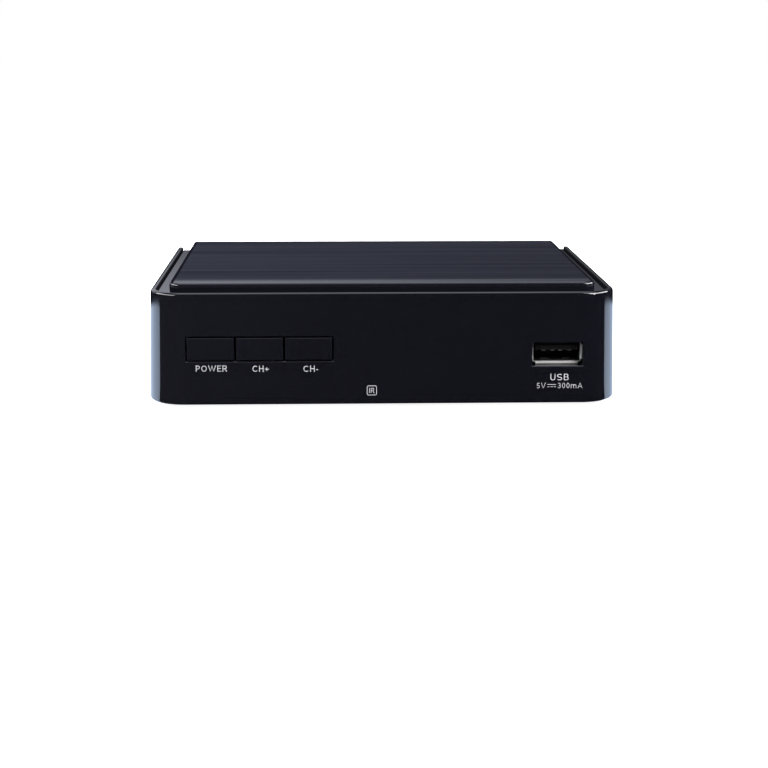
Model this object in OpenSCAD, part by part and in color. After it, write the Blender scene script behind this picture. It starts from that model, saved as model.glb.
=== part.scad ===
// Set-top terrestrial TV receiver: a gloss wrap-round frame, a cover with a raised lid, a base tray
// that carries the board, three front keys, a front USB socket and a row of sockets at the rear.
// Millimetres. x runs to the right seen from the front, y to the rear, z up; z = 0 is the table.

/* [Case] */
// Width across the side walls at the rim
case_w = 124.5; // [121:0.5:140]
// Depth from the front of the rim to the rear end of the side walls
case_d = 91; // [89:0.5:110]
// Height of the rim above the bottom edge of the case
rim_h = 30; // [29.5:0.5:38]
// Plan radius of the two front corners
corner_r = 9.3; // [8:0.1:11]
// Thickness of the front and side walls
wall_t = 1.6; // [1.4:0.1:2]
// How far the walls lean out from the rim down to the bottom edge
wall_lean = 0.8; // [0.4:0.1:1.2]
// Radius along the bottom edge of the frame
edge_r = 0.8; // [0.4:0.1:1.2]
// Radius of the rim's outer edge
rim_r = 0.8; // [0.5:0.1:1]

/* [Cover and lid] */
// Height of the lid above the rim
lid_rise = 1.8; // [1.5:0.1:4]
// Depth of the ledge below the rim
ledge_drop = 0.9; // [0.5:0.1:2]
// Width of the ledge along the sides
ledge_side_w = 3.5; // [3.4:0.1:5]
// Width of the ledge along the front
ledge_front_w = 4; // [3.4:0.1:6]
// Thickness of the lid and of its upright walls
lid_t = 2; // [1.6:0.1:2.4]
// Thickness of the ledge
ledge_t = 1.8; // [1.4:0.1:2.2]
// Radius along the lid's upper edges
lid_edge_r = 0.8; // [0.6:0.1:1.4]
// Plan radius of the lid's front corners
lid_corner_r = 3.2; // [1.5:0.1:4]

/* [Base tray and feet] */
// Thickness of the floor
floor_t = 2; // [1.6:0.1:2.4]
// Diameter of a foot
foot_d = 10; // [8:0.5:12]
// Thickness of a foot
foot_h = 2; // [1.6:0.1:2.6]
// Depth of the recess that takes a foot
foot_sunk = 0.8; // [0.4:0.1:1]
// Distance from a foot's middle to the side of the case
foot_in = 17.8; // [17:0.2:24]
// Width of a vent slot
vent_w = 2; // [1.5:0.1:3]
// Length of a vent slot
vent_l = 24; // [16:1:26]
// Distance between vent slots
vent_pitch = 5; // [4:0.25:6]
// Number of vent slots
vent_n = 9; // [5:1:11]

/* [Board] */
// Distance from the rim down to the board's upper face
board_drop = 19.4; // [18.8:0.1:20.6]
// Thickness of the board
board_t = 1.6; // [1:0.1:2]
// Distance from the side of the case to a board screw
board_screw_in = 17.8; // [17:0.2:22]
// Distance from the front face to the front board screws
board_screw_front = 20; // [19:0.5:24]
// Distance from the rear end of the case to the rear board screws
board_screw_rear = 39; // [37:0.5:44]

/* [Keys] */
// Width of a key
key_w = 12.45; // [11:0.05:13]
// Height of a key
key_h = 6; // [5:0.1:7]
// Gap between two keys
key_gap = 0.55; // [0.4:0.05:0.8]
// Gap between the keys and the edge of their opening
key_clear = 0.3; // [0.2:0.05:0.4]
// How far the keys stand out of the front face
key_proud = 0.15; // [0.1:0.05:0.3]
// Travel of a key
key_travel = 0.35; // [0.2:0.05:0.5]
// Flat front left between the corner's curve and the key opening
key_from_corner = 0.5; // [0:0.1:2]
// Height of the switch axis above the board
switch_axis = 4.5; // [4.4:0.1:5.4]
// Diameter of a switch plunger
plunger_d = 3.5; // [3:0.1:3.8]

/* [USB socket] */
// Distance from the right side of the case to the middle of the socket
usb_in = 15.8; // [15:0.1:24]
// Width of the metal shell
usb_w = 13.1; // [12.6:0.1:13.4]
// Height of the metal shell
usb_h = 5.7; // [5.4:0.1:6]
// Length of the metal shell
usb_l = 14; // [12:0.5:15]
// Gap between the front wall and the shell's mouth
usb_back = 0.2; // [0.1:0.1:0.8]
// How much larger the front opening is than the shell, on each side
usb_clear = 0.3; // [0.2:0.05:0.5]
// How far the opening's middle lies below the shell's middle
usb_sill = 0.25; // [0:0.05:0.3]

/* [Infrared sensor] */
// Place of the sensor, left of the middle of the front
sensor_x = -3; // [-8:0.5:20]
// Height of the sensor's lens above the board
sensor_lens_z = 5.2; // [4.5:0.1:7]

/* [Rear sockets] */
// How far the barrels stand out past the rear end of the case
socket_out = 8; // [7:0.5:10]
// Distance from the left side of the case to the middle of the aerial socket
aerial_in = 16.2; // [16.1:0.1:18]
// Distance between the aerial and loop sockets
rf_pitch = 15; // [14:0.25:16]
// Bore of the aerial socket's barrel
aerial_bore_d = 9.6; // [9.5:0.05:9.8]
// Bore of the aerial socket's middle contact
aerial_contact_d = 2.4; // [2.3:0.05:2.6]
// Outside diameter of the loop plug's barrel
loop_d = 9.5; // [9.3:0.05:9.6]
// Diameter of the loop plug's pin
loop_pin_d = 2.34; // [2.2:0.02:2.5]
// Distance between phono sockets
phono_pitch = 12.5; // [12:0.1:12.8]
// Outside diameter of a phono ring
phono_d = 8.3; // [8.1:0.05:8.5]
// Bore of a phono socket's middle contact
phono_bore_d = 3.2; // [3:0.05:3.4]
// Distance from the right side of the case to the middle of the power inlet
jack_in = 14.5; // [14.2:0.1:16]
// Bore of the power inlet
jack_bore_d = 6.3; // [6:0.05:6.5]
// Diameter of the power inlet's pin
jack_pin_d = 2; // [1.6:0.05:2.5]

/* [Hidden] */
$fn = 64;

// Radius of the rim's inner edge
rim_inner_r = 0.4;
// How far the lid's middle laps past the axes of its front corners
lid_lap = (lid_corner_r - lid_edge_r) / 2;
// Overlap of a cutting shape past the face that it cuts
cut = 1;
// Clearance between the frame and what sits inside it
fit = 0.15;
// Clearance of a screw's thread in its hole
thread_fit = 0.05;

// Frame: what stands out below and behind sets the origin at the middle of the whole box
foot_out = foot_h - foot_sunk;
lean_a = atan(wall_lean / rim_h);
lean_out = lean_at(edge_r) + edge_r - edge_r / cos(lean_a);
front_y = -(case_d + socket_out - lean_out) / 2;
inner_x = case_w / 2 - wall_t;
board_z = rim_h - board_drop;
shelf_w = 1.2;
shelf_h = 1.2;

// Cover levels above the bottom edge of the case
ledge_z = rim_h - ledge_drop;
ledge_under = ledge_z - ledge_t;
lid_top = rim_h + lid_rise;
lid_under = lid_top - lid_t;
lid_x = inner_x - ledge_side_w;
lid_y = wall_t + ledge_front_w;
cavity_x = lid_x - lid_t;

// Rear end: panel in the slot between an outer lip and an inner rib
lip_t = 1.2;
slot_clear = 0.1;
panel_t = 1.6;
panel_rear = case_d - lip_t - slot_clear;
panel_front = panel_rear - panel_t;
rib_rear = panel_front - slot_clear;
rib_front = rib_rear - lip_t;
tray_lip = 4;
foot_end_in = 10;
foot_ys = [foot_end_in, case_d - foot_end_in];
foot_x = case_w / 2 - foot_in;
slot_depth = 1.5;
lip_clear = 0.4;
rf_axis = 6.6;
rf_flange_r = 6.2;
cover_lip = board_z + rf_axis + rf_flange_r + lip_clear;
panel_top = cover_lip + slot_depth - slot_clear;
panel_gap = 0.4;
socket_gap = 0.5;
socket_seat = panel_front - socket_gap;
socket_end = case_d + socket_out;

// Case screws: tray boss, frame lug and cover post in one stack
post_r = 3;
post_gap = 0.4;
post_x = inner_x - shelf_w - post_gap - post_r;
post_front_y = 22;
post_rear_in = 12;
post_ys = [post_front_y, case_d - post_rear_in];
boss_top = 4;
lug_t = 1.6;
screw_r = 1.25;
screw_head_r = 2.5;
screw_head_h = 1.7;
screw_seat = 2.2;
screw_len = 12;
screw_hole_depth = 14;
head_clear = 0.2;
drive_w = 0.7;
drive_l = 3;
drive_depth = 0.8;

// Board and its screws
board_side_gap = 1.6;
board_x = post_x - board_side_gap;
board_front = 4.5;
board_rear_gap = 0.6;
board_rear = panel_front - board_rear_gap;
board_under = board_z - board_t;
board_screw_x = case_w / 2 - board_screw_in;
board_screw_ys = [board_screw_front, case_d - board_screw_rear];
board_post_r = 2.8;
board_screw_r = 1;
board_head_r = 2.4;
board_head_h = 1.5;
board_screw_tip = 2.3;
board_screw_len = board_z - floor_t - board_screw_tip;
notch_clear = 0.8;

// Keys and their switches
key_span = 3 * key_w + 2 * key_gap + 2 * key_clear;
key_mid_x = -case_w / 2 + corner_r + key_from_corner + key_span / 2;
key_z = board_z + switch_axis;
key_flange_t = 1;
key_flange_lap = 0.9;
key_round = 0.3;
stem_w = 4;
stem_t = 1.2;
stem_end = 5.2;
switch_front = 8;
switch_w = 6.6;
switch_h = 6.6;
switch_t = 3.4;
plunger_in = 1.6;
plunger_fit = 0.1;
bracket_t = 0.4;
opening_r = 0.5;
opening_bevel = 0.2;

// USB socket
usb_x = case_w / 2 - usb_in;
usb_lift = 0.1;
usb_z = board_z + usb_lift + usb_h / 2;
usb_sheet = 0.3;
usb_r = 0.6;
usb_lip = 0.45;
usb_lip_side = 0.85;
usb_tongue_w = 11.2;
usb_tongue_t = 1.84;
usb_tongue_drop = 0.35;
usb_block_l = 5;
usb_contact_xs = [-3.5, -1, 1, 3.5];
usb_contact_w = 1;
usb_contact_t = 0.25;
usb_tongue_back = 1;
usb_bevel = 0.6;
usb_mouth = wall_t + usb_back;
usb_end = usb_mouth + usb_l;
usb_tongue_top = usb_z + usb_h / 2 - usb_sheet - usb_tongue_drop;
usb_tongue_front = usb_mouth + usb_tongue_back;

// Infrared sensor
sensor_w = 6;
sensor_h = 7;
sensor_d = 3.8;
sensor_y = 5.6;
sensor_lift = 1.5;
sensor_lens_r = 2.5;
sensor_window_r = 3.5;
sensor_window_t = 1;
lead_r = 0.3;
lead_hole_r = 0.45;
lead_pitch = 2.54;
lead_out = 1.2;
sensor_lead_y = sensor_y + sensor_d / 2;
sensor_z = board_z + sensor_lens_z;

// Rear sockets: the phono block and the video socket share the room between tuner and power inlet
rf_z = board_z + rf_axis;
aerial_x = -case_w / 2 + aerial_in;
loop_x = aerial_x + rf_pitch;
tuner_w = 28;
tuner_d = 28;
tuner_h = 12;
tuner_sheet = 0.5;
tuner_mid_x = aerial_x + rf_pitch / 2;
rf_flange_t = 0.4;
rf_collar_r = 5.7;
rf_floor_t = 1.4;
rf_seat = socket_seat + rf_flange_t;
rf_floor = rf_seat + rf_floor_t;
rf_inner_l = 1;
rf_wire = socket_seat - tuner_sheet - rf_inner_l;
rf_bush_r = 2.6;
rf_disc_t = 1.5;
contact_wall = 0.8;
contact_back = 1;
loop_wall = 0.7;
phono_block_w = 3 * phono_pitch;
video_w = 15;
jack_x = case_w / 2 - jack_in;
jack_w = 9;
tuner_end_x = tuner_mid_x + tuner_w / 2;
rear_room = jack_x - jack_w / 2 - tuner_end_x;
rear_gap = (rear_room - phono_block_w - video_w) / 3;
phono_x = tuner_end_x + rear_gap + phono_block_w / 2;
video_x = phono_x + phono_block_w / 2 + rear_gap + video_w / 2;
phono_axis = 6.8;
phono_z = board_z + phono_axis;
phono_block_h = 12.6;
phono_block_d = 9;
phono_collar_r = 5.2;
phono_collar_out = 0.5;
phono_wall = 0.55;
phono_base_t = 1;
phono_seat = socket_seat + phono_base_t;
phono_back = 1;
phono_contact_wall = 0.35;
video_h = 6;
video_d = 11.5;
video_sheet = 0.4;
video_foot_w = 11.2;
video_slant_z = 2.6;
video_lift = 0.2;
video_out = 0.6;
video_end = panel_rear + video_out;
video_start = video_end - video_d;
video_tongue_w = 11;
video_tongue_t = 1.2;
video_tongue_z = 3.4;
video_block_l = 4;
video_pitch = 0.5;
video_contact_w = 0.3;
video_contact_t = 0.15;
jack_axis = 6.5;
jack_z = board_z + jack_axis;
jack_d = 13;
jack_nose_r = 4.2;
jack_nose_out = 0.3;
jack_nose_end = panel_rear + jack_nose_out;
jack_bore_l = 9.5;
jack_bore_start = jack_nose_end - jack_bore_l;
jack_back = 0.8;
jack_pin_root = 1.5;
jack_root_wall = 0.4;
spring_w = 2.4;
spring_t = 0.4;
spring_l = 6;

// Chips and other board parts: an offset is x, and y from the chip or from the board's front or rear edge
chip_y = (board_front + board_rear) / 2;
chip_w = 20;
chip_t = 1.4;
pad_w = 18;
pad_t = 0.5;
sink_w = 24;
sink_h = 9;
sink_base = 1.6;
fin_n = 7;
fin_t = 1.2;
memory_offsets = [[24, -6], [24, 9]];
memory_places = [for (o = memory_offsets) [o[0], chip_y + o[1]]];
memory_size = [10, 13, 1.1];
crystal_offset = [-20, -2];
crystal_place = [crystal_offset[0], chip_y + crystal_offset[1]];
crystal_w = 4.7;
crystal_l = 11.4;
crystal_h = 3.6;
filter_offsets = [[-6, -17.5], [6, -17.5], [25, -15.5], [36, -21.5]];
chip_filter_offset = [-30, 4];
capacitor_places = concat(
  [for (o = filter_offsets) [o[0], board_rear + o[1]]],
  [[chip_filter_offset[0], chip_y + chip_filter_offset[1]]]
);
capacitor_r = 4;
capacitor_h = 11;
capacitor_groove_z = 2;
capacitor_groove = 0.3;
inductor_offsets = [[20, 19.5], [33, 21.5]];
inductor_places = [for (o = inductor_offsets) [o[0], board_front + o[1]]];
inductor_w = 7;
inductor_h = 4;
inductor_core_r = 2.6;
inductor_core_h = 0.4;
supply_offset = [6, 19.5];
core_offset = [40, -8];
regulator_places = [
  [supply_offset[0], board_front + supply_offset[1]],
  [core_offset[0], chip_y + core_offset[1]]
];
regulator_size = [6.5, 6, 2.3];

// Places a piece in the case: y from the front face, z from the bottom edge
module in_case() {
  translate([0, front_y, foot_out]) children();
}

// Both sides of the case, the left one as drawn
module both_sides() {
  for (side = [0, 1]) mirror([side, 0, 0]) children();
}

// Turns what is drawn along +z at the origin to point to the rear from a place in the case
module rearward(x, y, z) {
  translate([x, y, z]) rotate([-90, 0, 0]) children();
}

// Rectangle about the origin with round corners
module round_rect(w, h, r) {
  square([w - 2 * r, h], center = true);
  square([w, h - 2 * r], center = true);
  for (x = [-1, 1], y = [-1, 1]) translate([x * (w / 2 - r), y * (h / 2 - r)]) circle(r);
}

// Slot with round ends along y, about the origin
module long_slot(w, l) {
  square([w, l - w], center = true);
  for (y = [-1, 1]) translate([0, y * (l - w) / 2]) circle(d = w);
}

// Plan of what lies inside the frame: round front corners, square rear ones
module inside_plan(half_w, y0, y1, r) {
  translate([-half_w, y0 + r]) square([2 * half_w, y1 - y0 - r]);
  translate([-half_w + r, y0]) square([2 * (half_w - r), r]);
  for (x = [-1, 1]) translate([x * (half_w - r), y0 + r]) circle(r);
}

// Carries a profile along a front, round its corners and along the sides; x is the depth from the outer face
module wrap_sweep(rear_y, half_w = case_w / 2, front = 0, r = corner_r) {
  run = 2 * (half_w - r);
  translate([-run / 2, front, 0]) rotate([90, 0, 90]) linear_extrude(run) children();
  both_sides() {
    translate([-half_w, rear_y, 0]) rotate([90, 0, 0])
      linear_extrude(rear_y - front - r) children();
    translate([-half_w + r, front + r, 0]) rotate([0, 0, 180])
      rotate_extrude(angle = 90) translate([r, 0]) mirror([1, 0]) children();
  }
}

// How far the outer face stands out past the rim at a height
function lean_at(z) = wall_lean * (1 - z / rim_h);

// Section of the frame's wall: round bottom edge, leaning outer face, upright inner face, rim with a land
module wall_section() {
  rim_x = rim_r / cos(lean_a) - lean_at(rim_h - rim_r);
  rim_z = rim_h - rim_r;
  edge_x = edge_r / cos(lean_a) - lean_at(edge_r);
  translate([edge_x, edge_r]) circle(edge_r);
  translate([rim_x, rim_z]) circle(rim_r);
  translate([wall_t - rim_inner_r, rim_h - rim_inner_r]) circle(rim_inner_r);
  polygon([
    [edge_x, 0], [wall_t, 0], [wall_t, rim_h - rim_inner_r], [wall_t - rim_inner_r, rim_h], [rim_x, rim_h],
    [rim_x - rim_r * cos(lean_a), rim_z + rim_r * sin(lean_a)],
    [edge_x - edge_r * cos(lean_a), edge_r + edge_r * sin(lean_a)]
  ]);
}

// Section of the shelf inside the wall that the cover's ledge rests on
module shelf_section() {
  lap = wall_t / 2;
  translate([lap, ledge_under - shelf_h]) square([wall_t - lap + shelf_w, shelf_h]);
}

// Section of a bevelled edge: x across the opening, y the depth behind the front face
module bevel_section(w) {
  reach = w / 2 + opening_bevel + cut;
  polygon([[-reach, -cut], [reach, -cut], [w / 2, opening_bevel], [-w / 2, opening_bevel]]);
}

// Key opening or USB opening, cut through the front wall and bevelled at its outer edge
module front_opening(x, z, w, h) {
  tall = h + 2 * (opening_bevel + cut);
  wide = w + 2 * (opening_bevel + cut);
  translate([x, wall_t + cut, z]) rotate([90, 0, 0]) linear_extrude(wall_t + wall_lean + 2 * cut)
    round_rect(w, h, opening_r);
  translate([x, -lean_at(z), z]) rotate([-lean_a, 0, 0]) intersection() {
    translate([0, 0, -tall / 2]) linear_extrude(tall) bevel_section(w);
    rotate([0, 90, 0]) translate([0, 0, -wide / 2]) linear_extrude(wide) bevel_section(h);
  }
}

// Lug that the case screw clamps between tray and cover
module frame_lug(y) {
  difference() {
    translate([-post_x, y, boss_top]) union() {
      cylinder(r = post_r, h = lug_t);
      translate([-(inner_x - post_x) - wall_t / 2, -post_r, 0])
        cube([inner_x - post_x + wall_t / 2, 2 * post_r, lug_t]);
    }
    translate([-post_x, y, boss_top - cut]) cylinder(r = screw_r + head_clear, h = lug_t + 2 * cut);
  }
}

module front_frame() {
  color("#14141a") in_case() {
    difference() {
      wrap_sweep(case_d) wall_section();
      front_opening(key_mid_x, key_z, key_span, key_h + 2 * key_clear);
      front_opening(usb_x, usb_z - usb_sill, usb_w + 2 * usb_clear, usb_h + 2 * usb_clear);
      rearward(sensor_x, sensor_window_t - lean_at(sensor_z), sensor_z)
        cylinder(r = sensor_window_r, h = wall_t + wall_lean);
    }
    wrap_sweep(rib_front - cut) shelf_section();
    both_sides() for (y = post_ys) frame_lug(y);
  }
}

// Section of the lid's border, with its round upper edge
module lid_section() {
  tall = lid_top - ledge_under;
  reach = lid_corner_r - lid_lap / 2;
  intersection() {
    translate([0, ledge_under]) square([reach, tall]);
    union() {
      translate([0, ledge_under]) square([reach, tall - lid_edge_r]);
      translate([lid_edge_r, ledge_under]) square([reach, tall]);
      translate([lid_edge_r, lid_top - lid_edge_r]) circle(lid_edge_r);
    }
  }
}

// Raised lid: a border carried along the front, the corners and the sides round a plain middle
module lid_block() {
  middle_x = lid_x - lid_corner_r + lid_lap;
  middle_y = lid_y + lid_corner_r - lid_lap;
  wrap_sweep(case_d, lid_x, lid_y, lid_corner_r) lid_section();
  translate([-middle_x, middle_y, ledge_under])
    cube([2 * middle_x, case_d - middle_y, lid_top - ledge_under]);
}

// Ribs under the lid, and the rib and webs that hold the rear panel's upper edge
module cover_ribs() {
  rib_h = 1.2;
  web_n = 5;
  web_in = 5;
  web_bottom = cover_lip + slot_depth;
  web_step = 2 * (cavity_x - web_in) / (web_n - 1);
  web_xs = [for (i = [0 : web_n - 1]) web_in - cavity_x + i * web_step];
  rib_bottom = lid_under - rib_h;
  rib_start = lid_y + lid_t / 2;
  rib_xs = [for (i = [-1 : 1]) i * cavity_x / 2];
  for (x = rib_xs) translate([x - lip_t / 2, rib_start, rib_bottom])
    cube([lip_t, rib_front - rib_start + lip_t / 2, rib_h + lid_t / 2]);
  translate([-cavity_x - lid_t / 2, rib_front, cover_lip])
    cube([2 * cavity_x + lid_t, lip_t, ledge_under - cover_lip + ledge_t / 2]);
  translate([-cavity_x, rib_front, ledge_under])
    cube([2 * cavity_x, lip_t, lid_under - ledge_under + lid_t / 2]);
  for (x = web_xs) translate([x - lip_t / 2, rib_front + lip_t / 2, web_bottom])
    cube([lip_t, case_d - rib_front - lip_t, lid_under - web_bottom + lid_t / 2]);
}

module top_cover() {
  cover_x = inner_x - fit;
  cavity_y = lid_y + lid_t;
  post_top = ledge_z - ledge_t / 4;
  post_bottom = boss_top + lug_t;
  color("#2c2d35") in_case() difference() {
    union() {
      difference() {
        union() {
          translate([0, 0, ledge_under]) linear_extrude(ledge_t)
            inside_plan(cover_x, wall_t + fit, case_d, corner_r - wall_t - fit);
          lid_block();
        }
        translate([0, 0, ledge_under - cut]) linear_extrude(lid_under - ledge_under + cut)
          inside_plan(cavity_x, cavity_y, case_d - lip_t, lid_corner_r / 2);
      }
      translate([-cover_x, case_d - lip_t, cover_lip])
        cube([2 * cover_x, lip_t, ledge_z - cover_lip]);
      cover_ribs();
      both_sides() for (y = post_ys) translate([-post_x, y, post_bottom])
        cylinder(r = post_r, h = post_top - post_bottom);
    }
    both_sides() for (y = post_ys) translate([-post_x, y, post_bottom - cut])
      cylinder(r = screw_r + thread_fit, h = screw_hole_depth + cut);
  }
}

module base_tray() {
  tray_x = inner_x - fit;
  color("#1d1d20") in_case() difference() {
    union() {
      linear_extrude(floor_t) inside_plan(tray_x, wall_t + fit, case_d, corner_r - wall_t - fit);
      translate([-tray_x, case_d - lip_t, 0]) cube([2 * tray_x, lip_t, tray_lip]);
      translate([-tray_x, rib_front, 0]) cube([2 * tray_x, lip_t, tray_lip]);
      both_sides() {
        for (y = post_ys) translate([-post_x, y, 0]) cylinder(r = post_r, h = boss_top);
        for (y = board_screw_ys) translate([-board_screw_x, y, 0])
          cylinder(r = board_post_r, h = board_under);
      }
    }
    both_sides() {
      for (y = post_ys) translate([-post_x, y, -cut]) {
        cylinder(r = screw_r + head_clear, h = boss_top + 2 * cut);
        cylinder(r = screw_head_r + head_clear, h = screw_seat + cut);
      }
      for (y = board_screw_ys) translate([-board_screw_x, y, floor_t])
        cylinder(r = board_screw_r + thread_fit, h = board_z);
      for (y = foot_ys) translate([-foot_x, y, -cut])
        cylinder(d = foot_d + 2 * fit, h = foot_sunk + cut);
    }
    for (i = [0 : vent_n - 1]) translate([(i - (vent_n - 1) / 2) * vent_pitch, chip_y, -cut])
      linear_extrude(floor_t + 2 * cut) long_slot(vent_w, vent_l);
  }
}

module rubber_feet() {
  chamfer = 0.5;
  color("#262626") in_case() both_sides() for (y = foot_ys) translate([-foot_x, y, -foot_out]) {
    cylinder(d1 = foot_d - 2 * chamfer, d2 = foot_d, h = chamfer);
    translate([0, 0, chamfer]) cylinder(d = foot_d, h = foot_h - chamfer);
  }
}

module rear_panel() {
  panel_x = inner_x - fit;
  color("#202024") in_case() difference() {
    translate([-panel_x, panel_front, floor_t]) cube([2 * panel_x, panel_t, panel_top - floor_t]);
    for (x = [aerial_x, loop_x]) rearward(x, panel_front - cut, rf_z)
      cylinder(r = rf_collar_r + panel_gap, h = panel_t + 2 * cut);
    for (i = [-1 : 1]) rearward(phono_x + i * phono_pitch, panel_front - cut, phono_z)
      cylinder(r = phono_collar_r + panel_gap, h = panel_t + 2 * cut);
    rearward(jack_x, panel_front - cut, jack_z)
      cylinder(r = jack_nose_r + panel_gap, h = panel_t + 2 * cut);
    rearward(video_x, panel_front - cut, board_z + video_lift + video_h / 2)
      linear_extrude(panel_t + 2 * cut)
      round_rect(video_w + 2 * panel_gap, video_h + 2 * panel_gap, opening_r);
  }
}

// Cross slot in the top of a screw's head
module drive_slot() {
  for (a = [0, 90]) rotate([0, 0, a]) translate([-drive_l / 2, -drive_w / 2, -drive_depth])
    cube([drive_l, drive_w, drive_depth + cut]);
}

module case_screws() {
  color("#8a8d92") in_case() both_sides() for (y = post_ys) translate([-post_x, y, 0]) {
    difference() {
      translate([0, 0, screw_seat - screw_head_h]) cylinder(r = screw_head_r, h = screw_head_h);
      translate([0, 0, screw_seat - screw_head_h]) mirror([0, 0, 1]) drive_slot();
    }
    translate([0, 0, screw_seat]) cylinder(r = screw_r, h = screw_len);
  }
}

module board_screws() {
  color("#a4a7ab") in_case() both_sides() for (y = board_screw_ys)
    translate([-board_screw_x, y, board_z]) {
    difference() {
      cylinder(r = board_head_r, h = board_head_h);
      translate([0, 0, board_head_h]) drive_slot();
    }
    translate([0, 0, -board_screw_len]) cylinder(r = board_screw_r, h = board_screw_len);
  }
}

// Middle of key number i, counted from the left
function key_x(i) = key_mid_x + (i - 1) * (key_w + key_gap);

// Key cap with round front edges, a flange behind the wall and a cross-shaped stem to its switch
module key(i) {
  cap_front = lean_at(key_z) + key_proud;
  cap_d = cap_front + wall_t + key_flange_t / 2;
  flange_h = key_h + 2 * (key_clear + key_flange_lap);
  color("#17171d") in_case() translate([key_x(i), 0, key_z]) {
    intersection() {
      translate([-key_w / 2, -cap_front, 0]) rotate([90, 0, 90]) linear_extrude(key_w)
        cap_section(key_h, cap_d);
      translate([0, -cap_front, -key_h / 2]) rotate([0, 0, 90]) linear_extrude(key_h)
        cap_section(key_w, cap_d);
    }
    translate([-key_w / 2, wall_t, -flange_h / 2]) cube([key_w, key_flange_t, flange_h]);
    for (size = [[stem_w, stem_t], [stem_t, stem_w]])
      translate([-size[0] / 2, wall_t, -size[1] / 2]) cube([size[0], stem_end - wall_t, size[1]]);
  }
}

// Section through a cap: depth along x from the front, round front corners
module cap_section(h, d) {
  translate([key_round, -h / 2]) square([d - key_round, h]);
  translate([0, -h / 2 + key_round]) square([d, h - 2 * key_round]);
  for (s = [-1, 1]) translate([key_round, s * (h / 2 - key_round)]) circle(key_round);
}

module power_key() { key(0); }
module channel_up_key() { key(1); }
module channel_down_key() { key(2); }

// Switch plunger: touches the key's stem and runs in the switch body
module plunger(i) {
  color("#d8d4c8") in_case() rearward(key_x(i), stem_end, key_z)
    cylinder(d = plunger_d, h = switch_front + plunger_in - stem_end);
}

module power_plunger() { plunger(0); }
module channel_up_plunger() { plunger(1); }
module channel_down_plunger() { plunger(2); }

module switch_bodies() {
  well = plunger_in + key_travel + plunger_fit;
  color("#101012") in_case() for (i = [0 : 2]) difference() {
    translate([key_x(i) - switch_w / 2, switch_front, key_z - switch_h / 2])
      cube([switch_w, switch_t, switch_h]);
    rearward(key_x(i), switch_front - cut, key_z)
      cylinder(d = plunger_d + 2 * plunger_fit, h = well + cut);
  }
}

// Bracket of bent sheet that holds a switch upright on the board
module switch_brackets() {
  side_x = switch_w / 2;
  top_z = key_z + switch_h / 2;
  color("#b9bcc0") in_case() for (i = [0 : 2]) translate([key_x(i), 0, 0]) {
    translate([-side_x, switch_front + switch_t, board_z])
      cube([2 * side_x, bracket_t, top_z - board_z]);
    for (s = [-side_x - bracket_t, side_x]) translate([s, switch_front, board_z])
      cube([bracket_t, switch_t + bracket_t, top_z - board_z]);
  }
}

// Bent lip at one edge of the shell's mouth; drawn for the lower edge
module shell_lip(w) {
  translate([-w / 2, 0, 0]) rotate([90, 0, 90]) linear_extrude(w)
    polygon([[0, 0], [0, usb_sheet], [-usb_lip, usb_sheet - usb_lip], [-usb_lip, -usb_lip]]);
}

module usb_shell() {
  color("#c9ccd0") in_case() translate([usb_x, usb_mouth + usb_lip, usb_z]) {
    rotate([-90, 0, 0]) linear_extrude(usb_l - usb_lip) difference() {
      round_rect(usb_w, usb_h, usb_r);
      round_rect(usb_w - 2 * usb_sheet, usb_h - 2 * usb_sheet, usb_r - usb_sheet);
    }
    for (turn = [0, 180]) rotate([0, turn, 0]) translate([0, 0, -usb_h / 2])
      shell_lip(usb_w - 2 * usb_lip_side);
    for (turn = [90, -90]) rotate([0, turn, 0]) translate([0, 0, -usb_w / 2])
      shell_lip(usb_h - 2 * usb_lip_side);
  }
}

module usb_insulator() {
  color("#0e0e10") in_case() translate([usb_x, 0, 0]) {
    translate([-(usb_w / 2 - usb_r), usb_end - usb_block_l, usb_z - usb_h / 2 + usb_sheet])
      cube([usb_w - 2 * usb_r, usb_block_l, usb_h - 2 * usb_sheet]);
    translate([-usb_tongue_w / 2, 0, usb_tongue_top]) rotate([90, 0, 90])
      linear_extrude(usb_tongue_w) polygon([
      [usb_end - usb_block_l / 2, 0], [usb_end - usb_block_l / 2, -usb_tongue_t],
      [usb_tongue_front, -usb_tongue_t],
      [usb_tongue_front, -usb_bevel], [usb_tongue_front + usb_bevel, 0]
    ]);
  }
}

module usb_contacts() {
  reach = usb_end - usb_block_l - usb_tongue_front;
  color("#c8a24a") in_case() for (x = usb_contact_xs)
    translate([usb_x + x - usb_contact_w / 2, usb_tongue_front,
      usb_tongue_top - usb_tongue_t - usb_contact_t])
      cube([usb_contact_w, reach, usb_contact_t]);
}

module infrared_receiver() {
  body_z = board_z + sensor_lift;
  color("#1a1414") in_case() translate([sensor_x, 0, 0]) {
    translate([-sensor_w / 2, sensor_y, body_z]) cube([sensor_w, sensor_d, sensor_h]);
    intersection() {
      translate([0, sensor_y, sensor_z]) sphere(sensor_lens_r);
      translate([-sensor_w / 2, sensor_y - sensor_lens_r - cut, body_z])
        cube([sensor_w, sensor_lens_r + 2 * cut, sensor_h]);
    }
  }
}

module infrared_leads() {
  color("#b9bcc0") in_case() for (i = [-1 : 1])
    translate([sensor_x + i * lead_pitch, sensor_lead_y, board_under - lead_out])
    cylinder(r = lead_r, h = board_t + lead_out + sensor_lift);
}

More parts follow.
